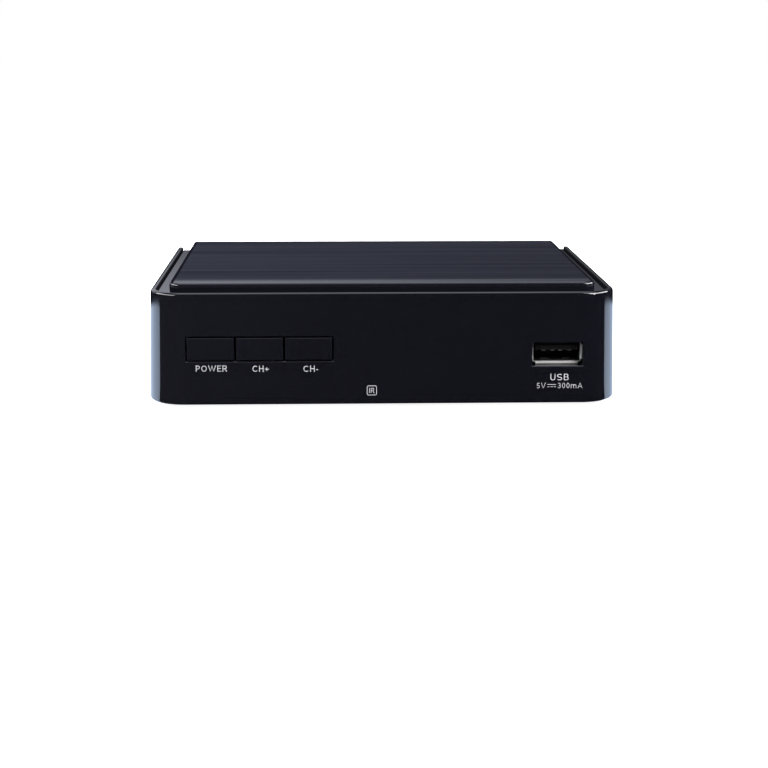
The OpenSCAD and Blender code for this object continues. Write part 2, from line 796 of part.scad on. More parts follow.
module main_board() {
  color("#1f5a36") in_case() difference() {
    translate([-board_x, board_front, board_under])
      cube([2 * board_x, board_rear - board_front, board_t]);
    both_sides() {
      for (y = post_ys) translate([-post_x, y, board_under - cut])
        cylinder(r = post_r + notch_clear, h = board_t + 2 * cut);
      for (y = board_screw_ys) translate([-board_screw_x, y, board_under - cut])
        cylinder(r = board_screw_r + head_clear, h = board_t + 2 * cut);
    }
    for (i = [-1 : 1]) translate([sensor_x + i * lead_pitch, sensor_lead_y, board_under - cut])
      cylinder(r = lead_hole_r, h = board_t + 2 * cut);
  }
}

// Box standing on the board, about a place
module on_board(place, size) {
  translate([place[0] - size[0] / 2, place[1] - size[1] / 2, board_z]) cube(size);
}

module receiver_chip() {
  color("#141416") in_case() on_board([0, chip_y], [chip_w, chip_w, chip_t]);
}

module thermal_pad() {
  color("#8fa3b5") in_case() translate([0, 0, chip_t]) on_board([0, chip_y], [pad_w, pad_w, pad_t]);
}

module heat_sink() {
  fin_step = (sink_w - fin_t) / (fin_n - 1);
  color("#b4b8bd") in_case() translate([0, 0, chip_t + pad_t]) {
    on_board([0, chip_y], [sink_w, sink_w, sink_base]);
    for (i = [0 : fin_n - 1])
      on_board([-sink_w / 2 + fin_t / 2 + i * fin_step, chip_y], [fin_t, sink_w, sink_h]);
  }
}

module memory_chips() {
  color("#18181a") in_case() for (place = memory_places) on_board(place, memory_size);
}

module crystal() {
  color("#c4c7cb") in_case() translate([crystal_place[0], crystal_place[1], board_z])
    linear_extrude(crystal_h) long_slot(crystal_w, crystal_l);
}

// Electrolytic can: sleeve with the crimped groove near its foot
module capacitors() {
  color("#23324e") in_case() for (place = capacitor_places) translate([place[0], place[1], board_z])
    difference() {
    cylinder(r = capacitor_r, h = capacitor_h);
    translate([0, 0, capacitor_groove_z]) rotate_extrude() translate([capacitor_r, 0])
      circle(capacitor_groove);
  }
}

module inductors() {
  color("#4a4a4e") in_case() for (place = inductor_places) {
    on_board(place, [inductor_w, inductor_w, inductor_h]);
    translate([place[0], place[1], board_z + inductor_h])
      cylinder(r = inductor_core_r, h = inductor_core_h);
  }
}

module regulators() {
  color("#161618") in_case() for (place = regulator_places) on_board(place, regulator_size);
}

// Tuner shield: four walls of tinned sheet with a partition, open below and closed by its lid
module tuner_can() {
  inner_w = tuner_w - 2 * tuner_sheet;
  inner_d = tuner_d - 2 * tuner_sheet;
  wall_h = tuner_h - tuner_sheet;
  front = socket_seat - tuner_d;
  color("#aeb4ba") in_case() difference() {
    translate([tuner_mid_x - tuner_w / 2, front, board_z]) cube([tuner_w, tuner_d, wall_h]);
    for (half = [0, 1])
      translate([tuner_mid_x - inner_w / 2,
      front + tuner_sheet + half * (inner_d + tuner_sheet) / 2, board_z - cut])
      cube([inner_w, (inner_d - tuner_sheet) / 2, tuner_h + 2 * cut]);
    for (x = [aerial_x, loop_x]) rearward(x, socket_seat - tuner_sheet - cut, rf_z)
      cylinder(r = rf_bush_r, h = tuner_sheet + 2 * cut);
  }
}

module tuner_lid() {
  color("#bcc1c6") in_case()
    translate([tuner_mid_x - tuner_w / 2, socket_seat - tuner_d, board_z + tuner_h - tuner_sheet])
    cube([tuner_w, tuner_d, tuner_sheet]);
}

// Aerial input: flanged barrel with a wide bore
module aerial_barrel() {
  color("#c3c6ca") in_case() difference() {
    union() {
      rearward(aerial_x, socket_seat, rf_z) cylinder(r = rf_flange_r, h = rf_flange_t);
      rearward(aerial_x, rf_seat, rf_z) cylinder(r = rf_collar_r, h = socket_end - rf_seat);
    }
    rearward(aerial_x, rf_floor, rf_z) cylinder(d = aerial_bore_d, h = socket_end - rf_floor + cut);
    rearward(aerial_x, socket_seat - cut, rf_z)
      cylinder(r = rf_bush_r, h = rf_floor - socket_seat + 2 * cut);
  }
}

// Insulating bush and disc round a middle conductor
module rf_bush(x, disc_r, hole_r) {
  difference() {
    union() {
      rearward(x, rf_wire, rf_z) cylinder(r = rf_bush_r, h = rf_floor - rf_wire);
      rearward(x, rf_floor, rf_z) cylinder(r = disc_r, h = rf_disc_t);
    }
    rearward(x, rf_wire - cut, rf_z)
      cylinder(r = hole_r, h = rf_floor + rf_disc_t - rf_wire + 2 * cut);
  }
}

module aerial_insulator() {
  color("#ece9df") in_case() rf_bush(aerial_x, aerial_bore_d / 2, aerial_contact_d / 2 + contact_wall);
}

module aerial_contact() {
  color("#d0b060") in_case() difference() {
    rearward(aerial_x, rf_wire, rf_z)
      cylinder(d = aerial_contact_d + 2 * contact_wall, h = socket_end - contact_back - rf_wire);
    rearward(aerial_x, rf_floor, rf_z) cylinder(d = aerial_contact_d, h = socket_end - rf_floor);
  }
}

// Loop output: collar through the panel, then a slim barrel round the pin
module loop_barrel() {
  color("#c3c6ca") in_case() difference() {
    union() {
      rearward(loop_x, socket_seat, rf_z) cylinder(r = rf_flange_r, h = rf_flange_t);
      rearward(loop_x, rf_seat, rf_z) cylinder(r = rf_collar_r, h = case_d - rf_seat);
      rearward(loop_x, case_d, rf_z) cylinder(d = loop_d, h = socket_out);
    }
    rearward(loop_x, rf_floor, rf_z)
      cylinder(r = loop_d / 2 - loop_wall, h = socket_end - rf_floor + cut);
    rearward(loop_x, socket_seat - cut, rf_z)
      cylinder(r = rf_bush_r, h = rf_floor - socket_seat + 2 * cut);
  }
}

module loop_insulator() {
  color("#ece9df") in_case() rf_bush(loop_x, loop_d / 2 - loop_wall, loop_pin_d / 2);
}

module loop_pin() {
  color("#c9ccd0") in_case() rearward(loop_x, rf_wire, rf_z)
    cylinder(d = loop_pin_d, h = socket_end - contact_back - rf_wire);
}

// Outline of the video socket, drawn in by a wall's thickness; its lower corners slant
module video_outline(inset) {
  slope = (video_w - video_foot_w) / 2 / video_slant_z;
  shift = inset * sqrt(1 + slope * slope);
  half = video_w / 2 - inset;
  foot = video_foot_w / 2 + slope * inset - shift;
  slant = (half - video_foot_w / 2 + shift) / slope;
  polygon([
    [-foot, inset], [foot, inset], [half, slant], [half, video_h - inset],
    [-half, video_h - inset], [-half, slant]
  ]);
}

// Stands an outline on the board at the video socket and carries it along y
module video_run(y0, y1) {
  translate([video_x, y1, board_z + video_lift]) rotate([90, 0, 0])
    linear_extrude(y1 - y0) children();
}

module video_shell() {
  tab_w = 3;
  color("#c2c6cb") in_case() {
    difference() {
      video_run(video_start, video_end) video_outline(0);
      video_run(video_start - cut, video_end + cut) video_outline(video_sheet);
    }
    translate([video_x - tab_w / 2, video_start + tab_w, board_z]) cube([tab_w, tab_w, video_lift]);
  }
}

module video_insulator() {
  tongue_back = 1.6;
  tongue_end = video_end - tongue_back;
  color("#111113") in_case() {
    video_run(video_start, video_start + video_block_l) video_outline(video_sheet);
    translate([video_x - video_tongue_w / 2, video_start + video_block_l,
      board_z + video_lift + video_tongue_z - video_tongue_t / 2])
      cube([video_tongue_w, tongue_end - video_start - video_block_l, video_tongue_t]);
  }
}

// Ten contacts above the tongue and nine below, half a pitch apart
module video_contacts() {
  row_n = 10;
  contact_l = 4.5;
  mid_z = board_z + video_lift + video_tongue_z;
  row_zs = [mid_z + video_tongue_t / 2, mid_z - video_tongue_t / 2 - video_contact_t];
  color("#caa850") in_case() for (row = [0, 1], i = [0 : row_n - 1 - row])
    translate([video_x + (i - (row_n - 1 - row) / 2) * 2 * video_pitch - video_contact_w / 2,
      video_start + video_block_l, row_zs[row]])
      cube([video_contact_w, contact_l, video_contact_t]);
}

module phono_block() {
  color("#141416") in_case() translate([phono_x - phono_block_w / 2, socket_seat - phono_block_d, board_z])
    cube([phono_block_w, phono_block_d, phono_block_h]);
}

module phono_rings() {
  color("#c7cacf") in_case() for (i = [-1 : 1])
    rearward(phono_x + i * phono_pitch, phono_seat, phono_z) difference() {
    cylinder(d = phono_d, h = socket_end - phono_seat);
    translate([0, 0, -cut])
      cylinder(r = phono_d / 2 - phono_wall, h = socket_end - phono_seat + 2 * cut);
  }
}

module phono_contacts() {
  color("#c7cacf") in_case() for (i = [-1 : 1])
    rearward(phono_x + i * phono_pitch, phono_seat, phono_z) difference() {
    cylinder(d = phono_bore_d + 2 * phono_contact_wall, h = socket_end - phono_back - phono_seat);
    translate([0, 0, phono_base_t]) cylinder(d = phono_bore_d, h = socket_end);
  }
}

// Coloured insulator of phono socket i: a collar through the panel and a bush inside the ring
module phono_insulator(i, shade) {
  x = phono_x + i * phono_pitch;
  color(shade) in_case() difference() {
    union() {
      rearward(x, socket_seat, phono_z)
        cylinder(r = phono_collar_r, h = case_d + phono_collar_out - socket_seat);
      rearward(x, socket_seat, phono_z)
        cylinder(r = phono_d / 2 - phono_wall, h = socket_end - phono_back - socket_seat);
    }
    rearward(x, phono_seat, phono_z) difference() {
      cylinder(d = phono_d, h = socket_end);
      translate([0, 0, -cut]) cylinder(r = phono_d / 2 - phono_wall, h = socket_end + 2 * cut);
    }
    rearward(x, phono_seat, phono_z)
      cylinder(d = phono_bore_d + 2 * phono_contact_wall, h = socket_end);
  }
}

module picture_phono() { phono_insulator(1, "#e0b520"); }
module left_phono() { phono_insulator(0, "#e8e6e0"); }
module right_phono() { phono_insulator(-1, "#c02a24"); }

// Power inlet: box with a round top, a nose through the panel and a slot for the spring contact
module jack_body() {
  start = socket_seat - jack_d;
  color("#121214") in_case() difference() {
    union() {
      translate([jack_x - jack_w / 2, start, board_z]) cube([jack_w, jack_d, jack_z - board_z]);
      rearward(jack_x, start, jack_z) cylinder(d = jack_w, h = jack_d);
      rearward(jack_x, socket_seat, jack_z)
        cylinder(r = jack_nose_r, h = jack_nose_end - socket_seat);
    }
    rearward(jack_x, jack_bore_start, jack_z) cylinder(d = jack_bore_d, h = jack_bore_l + cut);
    rearward(jack_x, jack_bore_start - jack_pin_root, jack_z)
      cylinder(d = jack_pin_d + 2 * jack_root_wall, h = jack_pin_root + cut);
    translate([jack_x - spring_w / 2, jack_bore_start, jack_z - jack_bore_d / 2 - spring_t])
      cube([spring_w, spring_l, jack_bore_d / 2]);
  }
}

// Pin with a thicker root, pressed into the body behind the bore
module jack_pin() {
  color("#c9ccd0") in_case() {
    rearward(jack_x, jack_bore_start - jack_pin_root, jack_z)
      cylinder(d = jack_pin_d + 2 * jack_root_wall, h = jack_pin_root);
    rearward(jack_x, jack_bore_start, jack_z) cylinder(d = jack_pin_d, h = jack_bore_l - jack_back);
  }
}

module jack_spring() {
  color("#c9ccd0") in_case()
    translate([jack_x - spring_w / 2, jack_bore_start, jack_z - jack_bore_d / 2 - spring_t])
    cube([spring_w, spring_l, spring_t]);
}

front_frame();
top_cover();
base_tray();
rear_panel();
rubber_feet();
case_screws();
board_screws();
power_key();
channel_up_key();
channel_down_key();
power_plunger();
channel_up_plunger();
channel_down_plunger();
switch_bodies();
switch_brackets();
usb_shell();
usb_insulator();
usb_contacts();
infrared_receiver();
infrared_leads();
main_board();
receiver_chip();
thermal_pad();
heat_sink();
memory_chips();
crystal();
capacitors();
inductors();
regulators();
tuner_can();
tuner_lid();
aerial_barrel();
aerial_insulator();
aerial_contact();
loop_barrel();
loop_insulator();
loop_pin();
video_shell();
video_insulator();
video_contacts();
phono_block();
phono_rings();
phono_contacts();
picture_phono();
left_phono();
right_phono();
jack_body();
jack_pin();
jack_spring();
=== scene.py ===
import bpy
import numpy as np
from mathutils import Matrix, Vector


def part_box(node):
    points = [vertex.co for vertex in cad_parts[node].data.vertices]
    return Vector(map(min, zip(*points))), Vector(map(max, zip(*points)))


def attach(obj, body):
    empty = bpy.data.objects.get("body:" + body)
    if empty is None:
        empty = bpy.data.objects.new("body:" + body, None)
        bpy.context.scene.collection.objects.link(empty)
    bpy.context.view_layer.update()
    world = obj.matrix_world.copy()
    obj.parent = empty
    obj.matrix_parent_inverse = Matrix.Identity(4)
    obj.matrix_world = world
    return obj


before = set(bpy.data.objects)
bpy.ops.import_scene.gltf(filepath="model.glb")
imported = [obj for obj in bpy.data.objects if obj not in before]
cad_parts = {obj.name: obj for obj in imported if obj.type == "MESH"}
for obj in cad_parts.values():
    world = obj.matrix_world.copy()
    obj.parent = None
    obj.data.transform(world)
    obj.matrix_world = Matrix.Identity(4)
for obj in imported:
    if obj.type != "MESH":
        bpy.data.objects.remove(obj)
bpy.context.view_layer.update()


# Base tray and rear panel: two black ABS mouldings. The tray carries the board on posts and closes the
# case from below; the panel stands in a slot between tray and cover. Both keep the matt skin of a
# spark-eroded mould.
MM = 0.001


def linear(code):
    """Linear colour of an sRGB hex code: each channel c gives c / 12.92 up to 0.04045, and above that
    ((c + 0.055) / 1.055) to the power 2.4."""
    c = np.array([int(code[i:i + 2], 16) for i in (1, 3, 5)]) / 255
    return (*np.where(c <= 0.04045, c / 12.92, ((c + 0.055) / 1.055) ** 2.4), 1.0)


def add(tree, kind, inputs=None, **settings):
    """Adds a node with its settings. The inputs map a socket's name or number to a value or to the output
    that feeds it."""
    node = tree.nodes.new(kind)
    for key, value in settings.items():
        setattr(node, key, value)
    for key, value in (inputs or {}).items():
        if isinstance(value, bpy.types.NodeSocket):
            tree.links.new(value, node.inputs[key])
        else:
            node.inputs[key].default_value = value
    return node


def finish_of(name, uniform):
    """A new material: itself, its node tree, its object coordinates in metres and its shader, on which the
    values that are the same all over are set."""
    mat = bpy.data.materials.new(name)
    mat.use_nodes = True
    tree = mat.node_tree
    tree.nodes.clear()
    shader = add(tree, "ShaderNodeBsdfPrincipled", uniform)
    add(tree, "ShaderNodeOutputMaterial", {"Surface": shader.outputs[0]})
    return mat, tree, add(tree, "ShaderNodeTexCoord").outputs["Object"], shader


def moulded(name, shades, grain_mm, depth_mm, rough, ior=1.5):
    """Moulded plastic or rubber: its colour drifts between two shades over 25 mm, and a noise of the
    mould's grain size gives a bump of the given depth and moves the roughness between two values."""
    drift_mm = 25
    mat, tree, place, shader = finish_of(name, {"IOR": ior})
    drift = add(tree, "ShaderNodeTexNoise", {"Vector": place, "Scale": 1 / (drift_mm * MM), "Detail": 3.0})
    tone = add(tree, "ShaderNodeMix", {0: drift.outputs[0], 6: linear(shades[0]), 7: linear(shades[1])},
               data_type="RGBA")
    grain = add(tree, "ShaderNodeTexNoise", {"Vector": place, "Scale": 1 / (grain_mm * MM), "Detail": 2.0})
    bump = add(tree, "ShaderNodeBump", {
        "Height": grain.outputs[0], "Strength": 1.0, "Distance": depth_mm * MM})
    sheen = add(tree, "ShaderNodeMapRange", {0: grain.outputs[0], 1: 0.3, 2: 0.7, 3: rough[0], 4: rough[1]})
    tree.links.new(tone.outputs[2], shader.inputs["Base Color"])
    tree.links.new(sheen.outputs[0], shader.inputs["Roughness"])
    tree.links.new(bump.outputs[0], shader.inputs["Normal"])
    return mat


def dress(mat, *names):
    """Puts a material into the slots of CAD nodes."""
    for name in names:
        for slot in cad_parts[name].material_slots:
            slot.material = mat


# Spark-eroded ABS: an even dull black; a grain of about 0.4 mm breaks up every reflection.
spark_eroded_abs = moulded("spark_eroded_abs", ("#131316", "#19191c"), 0.4, 0.03, (0.5, 0.7))
dress(spark_eroded_abs, "base_tray", "rear_panel")


# Feet: four die-cut rubber discs stuck into shallow recesses of the tray.
# Rubber looks greyer than the case and has no gloss, with a fine talc bloom.
foot_rubber = moulded("foot_rubber", ("#1c1c1c", "#272727"), 0.8, 0.02, (0.75, 0.95))
dress(foot_rubber, "rubber_feet")


# Main board: glass-epoxy sheet with green solder resist over copper tracks, screwed to the tray's posts.
# The resist is satin and lighter where copper lies under it. The weave of the glass, drawn 3.8 mm wide here
# so that it shows, is a faint relief.
resist, tree, place, shader = finish_of("solder_resist", {"Roughness": 0.38, "IOR": 1.52})
track_mm, track_rows, weave_mm = 1.6, 10, 3.768
# At scale 1, a wave texture repeats after this length.
wave_repeat = 0.314
tracks = add(tree, "ShaderNodeTexBrick", {
    "Vector": place, "Color1": linear("#1f6b3c"), "Color2": linear("#256f42"), "Mortar": linear("#12482a"),
    "Scale": 1 / (track_rows * track_mm * MM), "Row Height": 1 / track_rows, "Brick Width": 1.2,
    "Mortar Size": 0.03})
weave = add(tree, "ShaderNodeTexWave", {
    "Vector": place, "Scale": wave_repeat / (weave_mm * MM), "Distortion": 1.0})
bump = add(tree, "ShaderNodeBump", {"Height": weave.outputs[0], "Strength": 0.3, "Distance": 0.02 * MM})
tree.links.new(tracks.outputs[0], shader.inputs["Base Color"])
tree.links.new(bump.outputs[0], shader.inputs["Normal"])
dress(resist, "main_board")


# Chips: the receiver chip, memory, regulators and the infrared sensor are moulded in black epoxy.
# Epoxy filled with silica powder is dull and a little brown, with a fine even grain.
epoxy = moulded("filled_epoxy", ("#161517", "#1d1b1c"), 0.15, 0.008, (0.45, 0.6))
dress(epoxy, "receiver_chip", "memory_chips", "regulators", "infrared_receiver")
# Thermal pad: soft silicone sheet, blue-grey and waxy.
silicone = moulded("silicone_pad", ("#8197ab", "#90a4b5"), 0.6, 0.02, (0.55, 0.7), ior=1.43)
dress(silicone, "thermal_pad")


# Metal inside: an extruded aluminium heat sink, tinned sheet for the tuner, the leads and the crystal's
# can, zinc-plated screws and pressed-ferrite inductors.
def drawn_metal(name, shades, streak_mm, along, rough, depth_mm=0.003):
    """Bare or plated metal: fine streaks, a noise stretched to 30 times its width along one axis, carry the
    colour between two shades, the roughness between two values and a shallow bump."""
    stretch = 30
    mat, tree, place, shader = finish_of(name, {"Metallic": 1.0})
    narrow, long = 1 / (streak_mm * MM), 1 / (stretch * streak_mm * MM)
    scale = [long if axis == along else narrow for axis in "xyz"]
    stretched = add(tree, "ShaderNodeMapping", {"Vector": place, "Scale": scale})
    streaks = add(tree, "ShaderNodeTexNoise", {"Vector": stretched.outputs[0], "Scale": 1.0, "Detail": 3.0})
    tone = add(tree, "ShaderNodeMix", {0: streaks.outputs[0], 6: linear(shades[0]), 7: linear(shades[1])},
               data_type="RGBA")
    sheen = add(tree, "ShaderNodeMapRange", {
        0: streaks.outputs[0], 1: 0.3, 2: 0.7, 3: rough[0], 4: rough[1]})
    bump = add(tree, "ShaderNodeBump", {
        "Height": streaks.outputs[0], "Strength": 0.5, "Distance": depth_mm * MM})
    tree.links.new(tone.outputs[2], shader.inputs["Base Color"])
    tree.links.new(sheen.outputs[0], shader.inputs["Roughness"])
    tree.links.new(bump.outputs[0], shader.inputs["Normal"])
    return mat


# Extruded aluminium shows die lines along its fins; tin plate is softer and greyer; zinc is bluish.
dress(drawn_metal("extruded_aluminium", ("#b3b6b9", "#c6c8ca"), 0.3, "y", (0.3, 0.45)), "heat_sink")
tin_plate = drawn_metal("tin_plate", ("#a9adb1", "#bec1c4"), 0.5, "x", (0.28, 0.42))
dress(tin_plate, "tuner_can", "tuner_lid", "infrared_leads", "crystal")
zinc_plate = drawn_metal("zinc_plated_steel", ("#8f949b", "#a7acb3"), 0.4, "z", (0.22, 0.36))
dress(zinc_plate, "case_screws", "board_screws")
# Pressed ferrite is a dull dark grey with a sandy grain.
dress(moulded("pressed_ferrite", ("#3a3a3d", "#464649"), 0.3, 0.015, (0.55, 0.75)), "inductors")


# Capacitors: aluminium cans in a shrunk plastic sleeve with a pale stripe down the negative side.
# The sleeve is a thin glossy film. The stripes lie 24 mm apart across the board, so most cans show one.
sleeve, tree, place, shader = finish_of("shrink_sleeve", {"Roughness": 0.32, "IOR": 1.54})
stripe_pitch_mm = 24
bands = add(tree, "ShaderNodeTexWave", {"Vector": place, "Scale": wave_repeat / (stripe_pitch_mm * MM)},
            bands_direction="X")
edge = add(tree, "ShaderNodeMapRange", {0: bands.outputs[0], 1: 0.9, 2: 0.93})
tone = add(tree, "ShaderNodeMix", {0: edge.outputs[0], 6: linear("#1c2a45"), 7: linear("#8f99a8")},
           data_type="RGBA")
tree.links.new(tone.outputs[2], shader.inputs["Base Color"])
dress(sleeve, "capacitors")


# Rear sockets: turned and drawn brass or steel, nickel-plated, round white and coloured insulators; the
# video socket's folded shell and the inlet's pin have the same plating. All are soldered to the board.
# Nickel is a warm bright grey with fine turning lines; gold flash is thin and a little dull.
nickel = drawn_metal("nickel_plate", ("#c6c5c1", "#dad9d5"), 0.25, "y", (0.32, 0.44))
dress(nickel, "aerial_barrel", "loop_barrel", "loop_pin", "phono_rings", "phono_contacts", "video_shell",
      "jack_pin", "jack_spring")
dress(drawn_metal("gold_flash", ("#c39a4a", "#d8b366"), 0.25, "y", (0.2, 0.32)),
      "video_contacts", "aerial_contact")
# Acetal is milky white and a little waxy.
acetal = moulded("acetal", ("#e4e1d6", "#ece9df"), 0.5, 0.004, (0.35, 0.45), ior=1.48)
dress(acetal, "aerial_insulator", "loop_insulator")
# Coloured ABS insulators: saturated and shiny, with a slight haze from the mould.
for node, shades in {"picture_phono": ("#d8a514", "#e2b224"), "left_phono": ("#dcdad3", "#e6e4dd"),
                     "right_phono": ("#a81f1a", "#b72a22")}.items():
    dress(moulded(node.replace("_phono", "_socket_abs"), shades, 1.2, 0.004, (0.22, 0.32), ior=1.53), node)
# Glass-filled nylon bodies: dull black, slightly grey at the surface where fibres lie.
nylon = moulded("glass_filled_nylon", ("#0d0d0f", "#17171a"), 0.3, 0.012, (0.42, 0.6), ior=1.53)
dress(nylon, "phono_block", "jack_body", "video_insulator")


# Switches: three push switches at the front of the board, nylon housings in tinned sheet brackets.
# Each has a plunger of ivory acetal, creamy and a little waxy, that its key pushes back against a spring.
dress(nylon, "switch_bodies")
dress(tin_plate, "switch_brackets")
ivory_acetal = moulded("ivory_acetal", ("#d5d0c2", "#dedacd"), 0.5, 0.004, (0.35, 0.48), ior=1.48)
dress(ivory_acetal, "power_plunger", "channel_up_plunger", "channel_down_plunger")


# USB socket: a folded sheet shell, nickel-plated and brighter than the turned sockets, round a black
# tongue. Two spring fingers, cut from the shell's floor and bent up, grip the plug from below.
usb_plate = drawn_metal("satin_nickel_sheet", ("#d8d8d6", "#e8e8e6"), 0.3, "x", (0.36, 0.46))
dress(usb_plate, "usb_shell")
# The sheet is bright only at the mouth: from 0.5 to 1.5 mm further in it turns grey,
# painted shade for the little light that gets there.
inner_shade_starts, inner_shade_full = 0.5 * MM, 1.5 * MM
shell_low, shell_high = (np.array(corner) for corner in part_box("usb_shell"))
tree = usb_plate.node_tree
shader = next(node for node in tree.nodes if node.type == "BSDF_PRINCIPLED")
bright = shader.inputs["Base Color"].links[0].from_socket
place = add(tree, "ShaderNodeTexCoord").outputs["Object"]
depth = add(tree, "ShaderNodeSeparateXYZ", {0: place}).outputs[1]
painted_inner_shade = add(tree, "ShaderNodeMapRange", {
    0: depth, 1: shell_low[1] + inner_shade_starts, 2: shell_low[1] + inner_shade_full}).outputs[0]
tone = add(tree, "ShaderNodeMix", {0: painted_inner_shade, 6: bright, 7: linear("#626263")}, data_type="RGBA")
tree.links.new(tone.outputs[2], shader.inputs["Base Color"])
# The contacts have a dull tin finish, and the tongue is a deeper black than the other sockets' nylon.
dress(tin_plate, "usb_contacts")
dress(moulded("black_nylon", ("#050506", "#08080a"), 0.3, 0.01, (0.6, 0.75), ior=1.4), "usb_insulator")


def sweep(name, paths, across, section):
    """Mesh of a section carried along planar paths. At each point the section's first coordinate lies along
    the constant vector across, its second along the mean side of the two segments that meet there,
    lengthened by 1 over the cosine of half their turn, at most 1.6 times. A path that ends where it starts
    is closed, others get caps."""
    longest = 1.6
    across, section = np.asarray(across, float), np.asarray(section, float)
    m, rings, faces = len(section), [], []
    for path in paths:
        path = np.asarray(path, float)
        closed = np.allclose(path[0], path[-1])
        path = path[:-1] if closed else path
        n, start = len(path), sum(map(len, rings))
        step = np.roll(path, -1, 0) - path
        step = step if closed else np.concatenate([step[:-1], step[-2:-1]])
        out = np.cross(step / np.linalg.norm(step, axis=1, keepdims=True), across)
        both = out + (np.roll(out, 1, 0) if closed else np.concatenate([out[:1], out[:-1]]))
        length = np.linalg.norm(both, axis=1, keepdims=True)
        side = both / length * np.minimum(2 / length, longest)
        ring = path[:, None] + section[:, :1] * across + section[:, 1:] * side[:, None]
        rings.append(ring.reshape(-1, 3))
        i, j = np.meshgrid(np.arange(n if closed else n - 1), np.arange(m), indexing="ij")
        corner = lambda a, b: start + (i + a) % n * m + (j + b) % m
        quads = np.stack([corner(0, 0), corner(0, 1), corner(1, 1), corner(1, 0)], -1).reshape(-1, 4)
        caps = [] if closed else [start + np.arange(m)[::-1], start + np.arange((n - 1) * m, n * m)]
        faces += [face.tolist() for face in (*quads, *caps)]
    mesh = bpy.data.meshes.new(name)
    mesh.from_pydata(np.concatenate(rings).tolist(), [], faces)
    piece = bpy.data.objects.new(name, mesh)
    bpy.context.scene.collection.objects.link(piece)
    return piece


usb_x = (shell_low[0] + shell_high[0]) / 2
finger_apart, finger_wide, finger_thick, finger_rise = 5.9 * MM, 2.0 * MM, 0.25 * MM, 0.2 * MM
finger_start_mm, finger_long_mm, lip_mm, sheet_mm = 3.4, 5, 0.45, 0.3
shell_floor = shell_low[2] + (lip_mm + sheet_mm) * MM
run = np.linspace(0, 1, 24)
finger_section = np.array([finger_wide, finger_thick]) / 2 * [(-1, -1), (1, -1), (1, 1), (-1, 1)]
# Each finger leaves the floor level, rises as a half cosine to its crest and dips again at its tip.
crest, dip = 0.75, 1.6
rise = np.where(run < crest, 0.5 - 0.5 * np.cos(np.pi * run / crest), np.cos(dip * (run - crest)))
for side, label in ((-1, "left"), (1, "right")):
    finger_x = np.full_like(run, usb_x + side * finger_apart / 2)
    finger_y = shell_low[1] + (finger_start_mm + finger_long_mm * run) * MM
    finger_z = shell_floor + finger_thick / 2 + finger_rise * rise
    path = np.stack([finger_x, finger_y, finger_z], 1)
    finger = sweep(f"usb_spring_{label}", [path], (1, 0, 0), finger_section)
    finger.data.materials.append(usb_plate)
    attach(finger, "receiver")


# Front frame and keys: one wrap-round ABS moulding, its walls leaning out towards the bottom and its rim a
# narrow land with round edges, polished in the mould to piano black. Three keys of the same plastic slide
# in its opening.
drift_mm, haze_mm, wave_mm, wave_deep = 30, 6, 9, 0.012 * MM
# Piano-black ABS: a deep blue-black that mirrors its surroundings. The faint waves of the polished mould
# bend the reflections, and wiping haze moves the roughness a little. The faces that look inwards, from the
# mould's unpolished core, are matt.
piano_black, tree, place, shader = finish_of("piano_black_abs", {"IOR": 1.5})
facing = add(tree, "ShaderNodeTexCoord").outputs["Normal"]
from_middle = add(tree, "ShaderNodeVectorMath", {0: place, 1: (1, 1, 0)}, operation="MULTIPLY").outputs[0]
outwards = add(tree, "ShaderNodeVectorMath", {0: facing, 1: from_middle},
               operation="DOT_PRODUCT").outputs["Value"]
core = add(tree, "ShaderNodeMapRange", {0: outwards, 1: -10 * MM, 2: -30 * MM}).outputs[0]
drift = add(tree, "ShaderNodeTexNoise", {"Vector": place, "Scale": 1 / (drift_mm * MM), "Detail": 2.0})
tone = add(tree, "ShaderNodeMix", {0: drift.outputs[0], 6: linear("#06060a"), 7: linear("#08080d")},
           data_type="RGBA")
haze = add(tree, "ShaderNodeTexNoise", {"Vector": place, "Scale": 1 / (haze_mm * MM), "Detail": 4.0})
polish = add(tree, "ShaderNodeMapRange", {0: haze.outputs[0], 1: 0.35, 2: 0.7, 3: 0.05, 4: 0.09})
sheen = add(tree, "ShaderNodeMix", {0: core, 2: polish.outputs[0], 3: 0.7})
mirror = add(tree, "ShaderNodeMapRange", {0: core, 3: 0.5, 4: 0.1})
waves = add(tree, "ShaderNodeTexNoise", {"Vector": place, "Scale": 1 / (wave_mm * MM), "Detail": 1.0})
bump = add(tree, "ShaderNodeBump", {"Height": waves.outputs[0], "Strength": 1.0, "Distance": wave_deep})
tree.links.new(tone.outputs[2], shader.inputs["Base Color"])
tree.links.new(sheen.outputs[0], shader.inputs["Roughness"])
tree.links.new(mirror.outputs[0], shader.inputs["Specular IOR Level"])
tree.links.new(bump.outputs[0], shader.inputs["Normal"])
dress(piano_black, "front_frame", "power_key", "channel_up_key", "channel_down_key")


# Cover: an ABS moulding whose ledge lies inside the frame's rim and whose raised lid stands above it.
# The lid's top has a hairline-brushed film that stops short of its front edge and its sides. All the rest
# is bare gloss, apart from a border along the sides that reflects nothing: painted shade of the lid's edge.
film_inset, film_fade, round_ends, flat_starts = 8.0 * MM, 6.0 * MM, 0.4 * MM, 0.1 * MM
side_shade_fade, side_shade_wide, flat_error = 0.42 * MM, 0.4 * MM, 0.001 * MM
